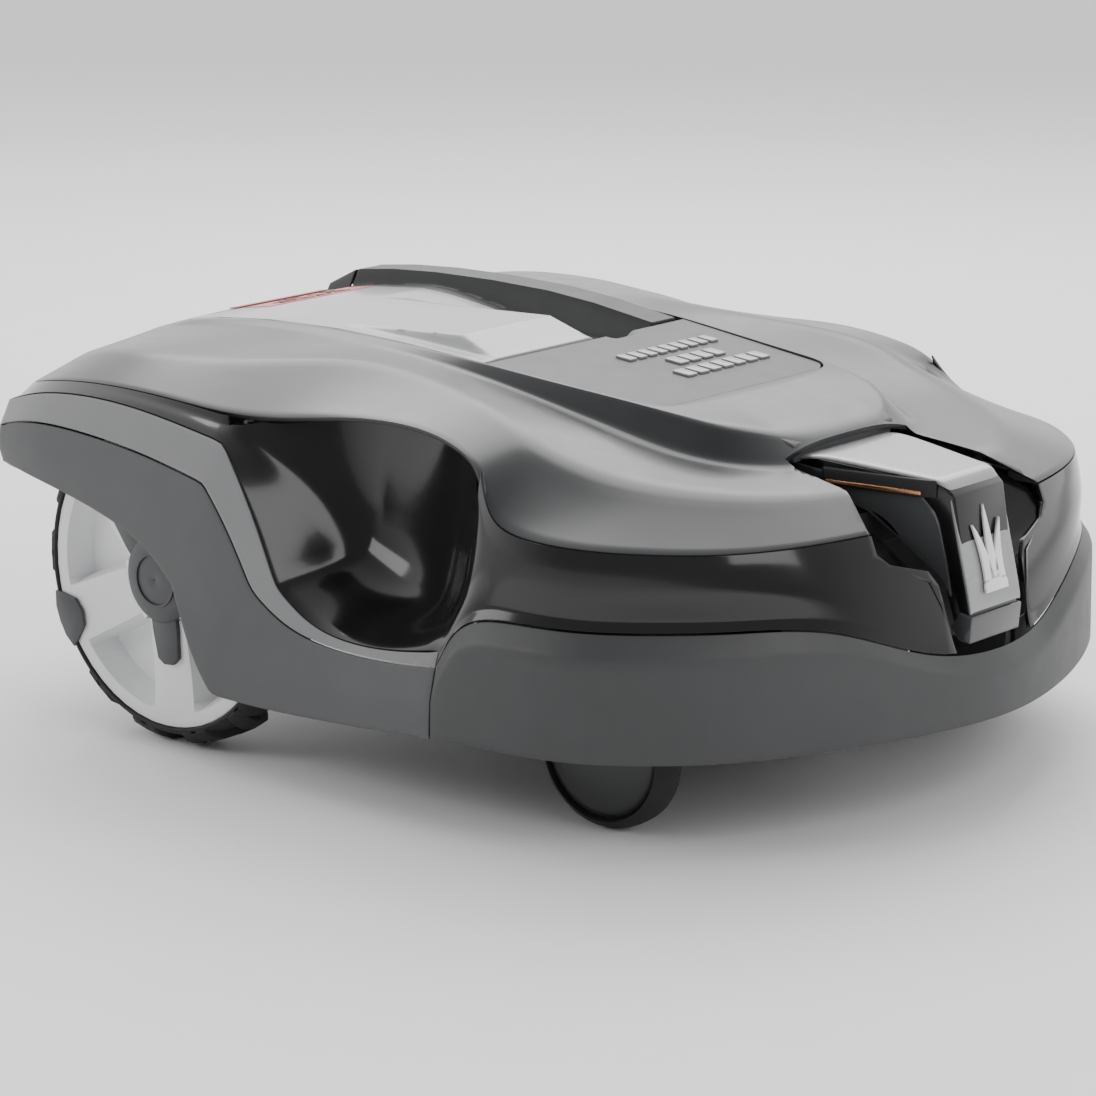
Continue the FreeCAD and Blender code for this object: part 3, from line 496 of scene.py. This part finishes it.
DECK = ((-273, 231.3), (-240, 236.8), (-195, 241), (-135, 243), (-80, 241.7), (-10, 237.6))
RIDGE_TOP = ((-273, 242.5), (-240, 246.5), (-200, 249), (-150, 249.8), (-100, 248.8), (-60, 245.5),
             (-10, 238.6))
HUMP_TOP = ((-273, 228), (-185, 241.2), (-45, 247.8), (-12, 238.0), (-10, 237.4))
HIGHEST = 249.8
LID_REAR, LID_FRONT = -272, -11
LID_RIGHT, RIDGE_RIGHT, RIDGE_LEFT = -95, 50, 95
PLATE = 4


def soft_max(a, b, blend=1.6):
    """The larger of two heights, with a rounded crossing."""
    share = max(blend - abs(a - b), 0) / blend
    return max(a, b) + share * share * blend / 4


def ridge_height(crest, y):
    """A flat-topped ridge of the given crest height that slopes down on both sides."""
    return min(crest, crest + 1.9 * (y - 66), crest + 2.2 * (89 - y))


def lid_height(x, y):
    """The deck with the raised hump on the right, the dip beside it and the ridge on the left."""
    deck = line_height(DECK, x)
    dip = 15 * smoothstep(-200, -70, x) * smoothstep(6, 22, y)
    top = line_height(HUMP_TOP, x)
    hump = min(top, deck + 1.2 * (y + 84), top + 1.6 * (6 - y))
    ridge = ridge_height(line_height(RIDGE_TOP, x), y)
    return min(soft_max(soft_max(deck - dip, hump), ridge), HIGHEST)


def height_plate(xs, ys, height, thickness):
    """A closed plate whose top follows a height function."""
    return closed_sheet([[(x, y, height(x, y)) for y in ys] for x in xs],
                        [[(x, y, height(x, y) - thickness) for y in ys] for x in xs])


lid_steps = spread(LID_REAR, LID_FRONT, 116)
lid = piece("stop_lid", height_plate(lid_steps, spread(LID_RIGHT, RIDGE_RIGHT, 72), lid_height, PLATE),
            "stop", LID, ["stop_button"], 60)
bevelled(lid, 0.8, 3, 70)
ridge = piece("stop_ridge",
              height_plate(lid_steps, spread(RIDGE_RIGHT, RIDGE_LEFT, 30), lid_height, PLATE),
              "stop", RIDGE, smooth=50)
bevelled(ridge, 0.8, 3, 70)


TAIL_TOP, TAIL_FOOT, TAIL_SLOPE = 242.2, 222, 0.5


def tail_height(x, y):
    """The ridge's run-out on the cover behind the stop plate."""
    crest = TAIL_TOP - TAIL_SLOPE * (-274 - x)
    return max(ridge_height(crest, y), TAIL_FOOT)


tail = piece("ridge_tail",
             height_plate(spread(-300, -274.5, 12), spread(56, RIDGE_LEFT, 26), tail_height, PLATE),
             "shell", RIDGE, smooth=50)
bevelled(tail, 0.8, 3, 70)

PRINT_RIGHT = -46
COVER_REAR, COVER_SLOPE, LABEL_RISE = 229.2, 0.176, 1
stripe = height_plate(spread(-268, -243, 10), spread(PRINT_RIGHT, 52, 20),
                      lambda x, y: lid_height(x, y) + 0.35, 0.6)
piece("stop_stripe", stripe, "stop", RED)
label = height_plate(spread(-283, -276, 3), spread(PRINT_RIGHT, 40, 12),
                     lambda x, y: COVER_REAR + (x + 284) * COVER_SLOPE + LABEL_RISE, 0.8)
piece("stop_label_print", label, "shell", RED, ["stop_label"])


def stroke(points, width, place):
    """A flat pen stroke along points (x, y) of the deck."""
    bm = bmesh.new()
    for (x1, y1), (x2, y2) in zip(points, points[1:]):
        way = Vector((x2 - x1, y2 - y1)).normalized() * width / 2
        across = Vector((-way.y, way.x))
        corners = [(x1 - way.x + across.x, y1 - way.y + across.y),
                   (x1 - way.x - across.x, y1 - way.y - across.y),
                   (x2 + way.x - across.x, y2 + way.y - across.y),
                   (x2 + way.x + across.x, y2 + way.y + across.y)]
        low = [bm.verts.new((x, y, place(x, y))) for x, y in corners]
        high = [bm.verts.new((x, y, place(x, y) + 0.5)) for x, y in corners]
        block_faces(bm, low, high)
    return bm


LETTERS = {
    "S": [(1, 1), (1, 0), (0.5, 0), (0.5, 1), (0, 1), (0, 0)],
    "T": [(1, 0), (1, 1), (1, 0.5), (0, 0.5)],
    "O": [(1, 0), (1, 1), (0, 1), (0, 0), (1, 0)],
    "P": [(0, 0), (1, 0), (1, 1), (0.5, 1), (0.5, 0)],
}
LETTER_TOP, LETTER_LEFT = -249, 32
LETTER_TALL, LETTER_WIDE, LETTER_PITCH = 14, 11, 17
for place_at, letter in enumerate("STOP"):
    start = LETTER_LEFT - place_at * LETTER_PITCH
    points = [(LETTER_TOP - LETTER_TALL * (1 - up), start - across * LETTER_WIDE)
              for up, across in LETTERS[letter]]
    piece(f"stop_letter_{place_at + 1}", stroke(points, 2.2, lambda x, y: lid_height(x, y) + 0.2),
          "stop", RED_DARK, smooth=20)


HATCH_REAR, HATCH_FRONT = -9, 119
HATCH_RUN = HATCH_FRONT - HATCH_REAR
HATCH_TOP, HATCH_FALL = 237.2, 12
HATCH_HALF, HATCH_TAPER, HATCH_CORNER = 95.5, 11, 12
HATCH_THICK = 3.5


def hatch_height(x, y):
    """The hatch's sloping top, with a shallow thumb notch in its rear edge."""
    notch = 3 * (1 - smoothstep(-9, 1, x)) * smoothstep(18, 24, y) * (1 - smoothstep(38, 44, y))
    return HATCH_TOP - HATCH_FALL * (x - HATCH_REAR) / HATCH_RUN - notch


def hatch_half(x):
    """Half the hatch's width, with its front corners rounded off."""
    corner = max(0.0, x - (HATCH_FRONT - HATCH_CORNER))
    return HATCH_HALF - HATCH_TAPER * (x - HATCH_REAR) / HATCH_RUN - corner ** 2 / HATCH_CORNER


def make_hatch():
    """The hatch as a closed sloping plate."""
    spots = [[(x, share * hatch_half(x)) for share in spread(-1, 1, 64)]
             for x in spread(HATCH_REAR, HATCH_FRONT, 64)]
    return closed_sheet(*([[(x, y, hatch_height(x, y) - drop) for x, y in line] for line in spots]
                          for drop in (0, HATCH_THICK)))


hatch = piece("hatch_plate", make_hatch(), "hatch", HATCH, ["hatch_lid"])
bevelled(hatch, 0.7, 3, 60)


BAR_GAP, BAR_RISE = 3.2, 1.6


def hatch_relief():
    """Plain raised bars in three rows, in place of any lettering."""
    bm = bmesh.new()
    lean = math.atan2(HATCH_FALL, HATCH_RUN)
    rows = ((28, 12, (-16, 76), 10), (50, 13, (5, 53), 12), (71, 13, (-13, 70), 12))
    for x, tall, (first, last), pitch in rows:
        y = first
        while y < last - 2:
            wide = pitch - BAR_GAP
            bar = slab([(0, y), (tall, y), (tall, y + wide), (0, y + wide)], BAR_RISE,
                       Matrix.Translation((x, 0, hatch_height(x, 0)))
                       @ Matrix.Rotation(lean, 4, "Y"))
            merge(bm, bar)
            y += pitch
    return bm


relief = piece("hatch_bars", hatch_relief(), "hatch", SILVER, ["hatch_badge"])
bevelled(relief, 0.35, 2, 40)


# --- snout ----------------------------------------------------------------------------------------

def prism_y(outline, half_of):
    """A side outline (x, z) widened to both sides by a half width that depends on x and z."""
    bm = bmesh.new()
    sides = [[bm.verts.new((x, hand * half_of(x, z), z)) for x, z in outline] for hand in (1, -1)]
    block_faces(bm, *sides)
    return bm


SNOUT_REAR, SNOUT_RUN = 203, 83.5
SNOUT_TOP, SNOUT_TALL = 200, 60
TOP_HALF, TOP_TAPER = 42, 16
FOOT_HALF, FOOT_TAPER = 33, 9
SNOUT_LEAN = math.atan2(TOP_TAPER, SNOUT_RUN)


def snout_half(x, z):
    """Half the snout's width, which narrows towards the nose and towards its foot."""
    along = unit((x - SNOUT_REAR) / SNOUT_RUN)
    top = TOP_HALF - TOP_TAPER * along
    foot = FOOT_HALF - FOOT_TAPER * along
    return top + (foot - top) * unit((SNOUT_TOP - z) / SNOUT_TALL)


SNOUT_SIDE = [(169, 172.5), (176, 193), (203, 201.5), (284, 194.5), (291, 189), (304.2, 118),
              (300, 106), (293, 110), (284, 138), (245, 166), (236, 172.5)]
core = piece("snout_core", prism_y(SNOUT_SIDE, lambda x, z: snout_half(x, z) - 0.6), "chassis",
             BLACK_GLOSS, ["charging_snout"])
bevelled(core, 1.2, 3, 25)

CHEEK_TOP = ((183, 197), (270, 188), (281, 176), (290, 131))
CHEEK_FOOT = ((183, 193), (204, 184), (236, 173), (284, 139), (290, 129))
for side, hand in SIDES:
    rows = []
    for x in spread(183, 290, 40):
        high, low = line_height(CHEEK_TOP, x), line_height(CHEEK_FOOT, x)
        rows.append([(x, hand * (snout_half(x, z) + 0.7), z) for z in spread(low, high, 8)])
    bm = bmesh.new()
    grid_faces(bm, rows)
    cheek = piece(f"snout_cheek_{side}", bm, "chassis", SNOUT_GREY, smooth=60)
    add_wall(cheek, 1.4, cheek.data.polygons[0].normal.y * hand)
    settled(cheek)
    bevelled(cheek, 0.5, 2, 40)

BROW_SIDE = ((166, 208), (171, 213.6), (185, 211.8), (193, 208.4), (193.6, 206), (192, 197),
             (166, 200))
brow = piece("brow", prism_y(BROW_SIDE, lambda x, z: 57 - 0.25 * (x - 166) - 0.2 * (213 - z)),
             "shell", HATCH)
bevelled(brow, 1.4, 3, 25)

chin = piece("snout_chin", prism_y([(306.3, 119), (304.9, 103), (297, 104), (291, 111), (297, 121)],
                                   lambda x, z: 25.2), "chassis", SNOUT_GREY)
bevelled(chin, 1.0, 3, 25)

# the dark well in the shell that the snout stands in
WELL_RIM = ((196, 60, 199), (212, 60, 198), (226, 65, 194), (242, 72, 187.5), (256, 79, 181),
            (268, 84.5, 174), (277, 84.5, 163), (284, 76, 156.5), (289, 60, 152), (293, 48, 147),
            (298, 42, 132), (301, 38, 112))
WELL_FOOT = ((196, 49, 184), (212, 48, 180), (226, 46, 175), (242, 43, 168), (256, 41, 160),
             (266, 38.5, 151), (272, 37, 146), (277, 36, 141), (282, 35, 134), (287, 34.5, 126),
             (291, 34, 117), (296, 33, 106))
for side, hand in SIDES:
    bm = bmesh.new()
    grid_faces(bm, [[(x, hand * y, z - 3) for x, y, z in line] for line in (WELL_RIM, WELL_FOOT)])
    well = piece(f"snout_well_{side}", bm, "shell", BLACK_GLOSS, smooth=60)
    add_wall(well, 1.6)
    settled(well)
    finish_shading(well, 40)


HOOD_BEND = 14
HOOD_FRONT, HOOD_FRONT_HALF = 284, 25.5


def snout_hood():
    """The light sheet that covers the top and folds down over the front."""
    path = [(178, 196.5), (190, 201), (203, 204), (230, 201.8), (260, 199.3), (276, 197.9)]
    bend = [(276 + HOOD_BEND * math.sin(a), 183.9 + HOOD_BEND * math.cos(a)) for a in
            [math.radians(10 * i) for i in range(1, 8)]]
    path += bend + [(293.5, 172), (298, 154), (302.5, 136), (306, 121)]
    rows = []
    for x, z in path:
        half = snout_half(x, SNOUT_TOP) if x < HOOD_FRONT else HOOD_FRONT_HALF
        edge = [(1.0, 1.6), (0.97, 0.5), (0.9, 0.0), (0.5, 0), (0, 0)]
        line = [(x, half * f, z - drop) for f, drop in edge]
        rows.append(line + [(px, -py, pz) for px, py, pz in line[-2::-1]])
    bm = bmesh.new()
    grid_faces(bm, rows)
    return bm


hood = piece("snout_hood", snout_hood(), "chassis", SILVER, smooth=60)
add_wall(hood, 2.2, hood.data.polygons[0].normal.z)
smooth = hood.modifiers.new("smooth", "SUBSURF")
smooth.levels = 2
settled(hood)
finish_shading(hood, 50)



def beside_snout(hand, x, y, z):
    """A place on the snout's flank, turned to run along it."""
    return Matrix.Translation((x, hand * y, z)) @ Matrix.Rotation(-hand * SNOUT_LEAN, 4, "Z")


HOLDER = ((0, -2), (70, -2), (74, 1.6), (66, 3.4), (2, 3.4), (0, 1))
STRIP = ((0, 1), (61, 1), (61, 4), (0, 4))
for side, hand in SIDES:
    holder = slab([(x, hand * y) for x, y in HOLDER], 10.5, beside_snout(hand, 208, 40.2, 186.5))
    bar = piece(f"strip_holder_{side}", holder, "chassis", BLACK)
    bevelled(bar, 0.8, 3, 30)
strips = bmesh.new()
for side, hand in SIDES:
    merge(strips, slab([(x, hand * y) for x, y in STRIP], 2.6, beside_snout(hand, 212, 40.28, 188)))
strips = piece("copper_strips", strips, "chassis", COPPER, ["charging_strips"])
bevelled(strips, 0.5, 2, 30)


def grass_badge():
    """Three blades of grass over a low mound, as a raised emblem."""
    bm = bmesh.new()
    tilt = math.atan2(79, 20)
    stand = Matrix.Translation((290.9, 0, 186)) @ Matrix.Rotation(tilt, 4, "Y")
    for lean, length, foot in ((-8, 34, -5.5), (0, 44, 0), (8, 34, 5.5)):
        left, right = [], []
        for i in range(9):
            share = i / 8
            width = 4.4 * (1 - share) ** 0.7 + 0.2
            bend = foot + lean * share * share
            along = 50 - length * share
            left.append((along, bend - width))
            right.append((along, bend + width))
        merge(bm, slab(left + right[::-1], 1.6, stand))
    mound = [(52, -11), (50, -9)] + [(50 + 4 * (y / 9) ** 2 - 2, y) for y in range(-8, 9, 2)]
    merge(bm, slab(mound + [(50, 9), (52, 11), (57, 11), (57, -11)], 1.6, stand))
    return bm


badge = piece("badge_grass", grass_badge(), "chassis", WHITE, ["snout_badge"], 30)
bevelled(badge, 0.3, 2, 40)


# --- rear wheels ----------------------------------------------------------------------------------

AXLE = (-148, 206, 106)
SPOKES = 5
SPOKE_START = math.radians(205)
DISH = 31.5
POCKET_DEPTH = 17


def wheel_point(hand, radius, turn, out):
    """A point of the rear wheel from its radius, its turn and its distance outwards."""
    return (AXLE[0] + radius * math.cos(turn), hand * (AXLE[1] + out),
            AXLE[2] + radius * math.sin(turn))


def rim_face(hand):
    """The rim's outer face: five flat spokes with sloping trapezoid pockets between them."""
    bm = bmesh.new()
    rings = [(8, 0), (24, 0), (29, 0), (34, 1), (48, 1), (62, 1), (74, 1), (79, 1), (85, 0), (90, 0),
             (93.4, 0)]
    gap = 2 * math.pi / SPOKES
    points = []
    for radius, pocket in rings:
        half = math.asin(min(0.62, (13.5 + 0.05 * radius) / max(radius, 22)))
        wall = 4.5 / max(radius, 22)
        marks = [0, half * 0.5, half, half + wall]
        marks += [half + wall + (gap - 2 * half - 2 * wall) * i / 6 for i in range(1, 6)]
        marks += [gap - half - wall, gap - half, gap - half * 0.5]
        dish = DISH + 2.5 * smoothstep(60, 92, radius) + 1.0 * smoothstep(40, 10, radius)
        line = []
        for spoke in range(SPOKES):
            middle = SPOKE_START + 2 * math.pi * spoke / SPOKES
            for mark in marks:
                sunk = pocket and half + wall - 1e-6 <= mark <= gap - half - wall + 1e-6
                line.append(wheel_point(hand, radius, middle + mark,
                                        dish - (POCKET_DEPTH if sunk else 0)))
        points.append(line)
    grid_faces(bm, points, close=True)
    return bm


LUGS = 27


def lug(hand, turn, flip):
    """One tread block that wraps from the crown over the shoulder, set a little askew."""
    bm = bmesh.new()
    wide = math.radians(3.6)
    skew = math.radians(4.5) * flip
    stations = [(2, 101.5, 97), (6, 105.6, 99), (24, 105.6, 99), (31, 102.6, 96), (35.2, 97.8, 94.5)]
    rings = []
    for out, high, low in stations:
        shift = skew * (out - 18) / 18
        corners = [(low, -wide * 1.25), (high, -wide), (high, wide), (low, wide * 1.25)]
        rings.append([bm.verts.new(wheel_point(hand, r, turn + shift + a, out))
                      for r, a in corners])
    for one, two in zip(rings, rings[1:]):
        loop_faces(bm, one, two)
    bm.faces.new(rings[0])
    bm.faces.new(rings[-1])
    return bm


def spoke_prong(hand, turn):
    """A dark angular finger of the hub cap along a spoke."""
    outline = [(20, -11), (32, -11), (50, -9), (54, -4), (54, 4), (50, 9), (32, 11), (20, 11)]
    bm = slab(outline, 3.2)
    for v in bm.verts:
        r, a, h = v.co
        v.co = wheel_point(hand, math.hypot(r, a), turn + math.atan2(a, r), DISH + h)
    return bm


def tyre_plate(hand):
    """The small dark plate on the tyre's side, over the first spoke."""
    outline = [(95.8, -19), (90, -16), (80, -9), (77.5, 0), (80, 9), (90, 16), (95.8, 19), (100, 10),
               (101, 0), (100, -10)]
    bm = slab(outline, 2.0)
    for v in bm.verts:
        r, a, h = v.co
        v.co = wheel_point(hand, math.hypot(r, a), SPOKE_START + math.atan2(a, r), 34 + h)
    return bm


for side, hand in SIDES:
    body = f"wheel_{side}"
    centre = (AXLE[0], hand * AXLE[1], AXLE[2])
    rim = piece(f"rim_{side}", rim_face(hand), body, RIM, [f"rear_rim_{side}"], 20)
    add_wall(rim, 3, rim.data.polygons[0].normal.y * hand)
    settled(rim)
    bevelled(rim, 0.9, 3, 25)
    barrel = turned([(93.6, 2), (93.6, 33), (90.5, 33), (88.5, 20), (88.5, 2)], centre, hand, 120)
    piece(f"rim_barrel_{side}", barrel, body, RIM)

    profile = [(94, 0.6), (97, 0), (99, 2), (100.6, 6), (100.9, 12), (100.9, 22), (100, 28),
               (98.0, 33), (96, 35.4), (94.2, 35.6), (93.8, 34)]
    tyre = turned(profile, centre, hand, 162)
    for i in range(LUGS):
        merge(tyre, lug(hand, 2 * math.pi * i / LUGS, 1 if i % 2 else -1))
    tyre = piece(f"tyre_{side}", tyre, body, RUBBER, [f"rear_tyre_{side}"])
    bevelled(tyre, 0.5, 2, 35)
    plate = piece(f"tyre_plate_{side}", tyre_plate(hand), body, CAP)
    bevelled(plate, 0.8, 2, 30)

    cap = turned([(0.3, 26), (0.3, 38.4), (8, 38.4), (21, 37.6), (27, 35.6), (28.5, 33), (28.5, 26)],
                 centre, hand, 72)
    for spoke in (1, 2, 3, 4):
        merge(cap, spoke_prong(hand, SPOKE_START + 2 * math.pi * spoke / SPOKES))
    cap = piece(f"cap_{side}", cap, body, CAP, [f"hub_cap_{side}"])
    bevelled(cap, 0.7, 2, 30)
    ring = turned([(15.5, 38.0), (15.5, 38.9), (17, 38.9), (17, 38.0)], centre, hand, 72)
    piece(f"cap_ring_{side}", ring, body, CAP)


# --- casters --------------------------------------------------------------------------------------

CASTER_AXLE = (162.5, 162, 48)
for side, hand in SIDES:
    centre = (CASTER_AXLE[0], hand * CASTER_AXLE[1], CASTER_AXLE[2])
    hub = turned([(4.05, 1), (4.05, 34.6), (12, 34.4), (24, 32.6), (34, 29), (40, 25), (42, 20),
                  (42, 9), (38, 4), (20, 1.6)], centre, hand, 96)
    piece(f"caster_wheel_{side}", hub, f"caster_wheel_{side}", CASTER, [f"front_wheel_{side}"])
    tread = turned([(41, 6), (44.5, 5), (47.4, 9), (47.9, 15), (47.6, 20), (45.6, 25), (42.2, 27.5),
                    (41, 24)], centre, hand, 96)
    piece(f"caster_tread_{side}", tread, f"caster_wheel_{side}", RUBBER)


# --- studio ---------------------------------------------------------------------------------------

FLOOR_HALF = 12
CAMERA_TURN, CAMERA_RISE = math.radians(41.211), math.radians(14.433)
CAMERA_TARGET = Vector((-0.0415, 0, 0.0972))
CAMERA_DISTANCE, CAMERA_LENS, CAMERA_SENSOR = 2.4272, 124.1, 36


def floor():
    """The plain pale floor."""
    bm = bmesh.new()
    bmesh.ops.create_grid(bm, x_segments=2, y_segments=2, size=FLOOR_HALF)
    mesh_object("floor", bm, FLOOR)


def softbox(name, place, size, power):
    """A soft rectangular lamp that looks at the machine."""
    lamp = bpy.data.lights.new(name, "AREA")
    lamp.shape = "RECTANGLE"
    lamp.size, lamp.size_y = size
    lamp.energy = power
    thing = bpy.data.objects.new(name, lamp)
    thing.location = place
    aim = Vector((0, 0, 0.1)) - Vector(place)
    thing.rotation_euler = aim.to_track_quat("-Z", "Y").to_euler()
    bpy.context.scene.collection.objects.link(thing)


floor()
softbox("top_light", (-0.9, 1.3, 1.7), (2.2, 1.6), 42)
softbox("front_light", (1.9, -0.2, 1.3), (1.0, 1.4), 16)
softbox("side_light", (-1.2, -1.9, 1.4), (1.2, 0.9), 15)

world = bpy.data.worlds.new("studio")
world.use_nodes = True
sky, wires = world.node_tree.nodes, world.node_tree.links
direction = sky.new("ShaderNodeTexCoord")
depth = sky.new("ShaderNodeVectorMath")
depth.operation = "DOT_PRODUCT"
depth.inputs[1].default_value = (-0.66, 0.75, -0.35)
wires.new(direction.outputs["Generated"], depth.inputs[0])
glow = sky.new("ShaderNodeMapRange")
glow.interpolation_type = "SMOOTHSTEP"
glow.inputs["From Min"].default_value = -0.7
glow.inputs["From Max"].default_value = 0.45
glow.inputs["To Min"].default_value = 0.3
glow.inputs["To Max"].default_value = 1.9
wires.new(depth.outputs["Value"], glow.inputs["Value"])
wires.new(glow.outputs["Result"], sky["Background"].inputs["Strength"])
sky["Background"].inputs["Color"].default_value = (1, 1, 1, 1)
bpy.context.scene.world = world


def camera():
    """The camera, at its angle, distance and focal length."""
    away = Vector((math.sin(CAMERA_TURN) * math.cos(CAMERA_RISE),
                   -math.cos(CAMERA_TURN) * math.cos(CAMERA_RISE), math.sin(CAMERA_RISE)))
    lens = bpy.data.cameras.new("camera")
    lens.lens = CAMERA_LENS
    lens.sensor_width = CAMERA_SENSOR
    lens.clip_end = 50
    thing = bpy.data.objects.new("camera", lens)
    thing.location = CAMERA_TARGET + away * CAMERA_DISTANCE
    thing.rotation_euler = (-away).to_track_quat("-Z", "Y").to_euler()
    bpy.context.scene.collection.objects.link(thing)
    bpy.context.scene.camera = thing


camera()
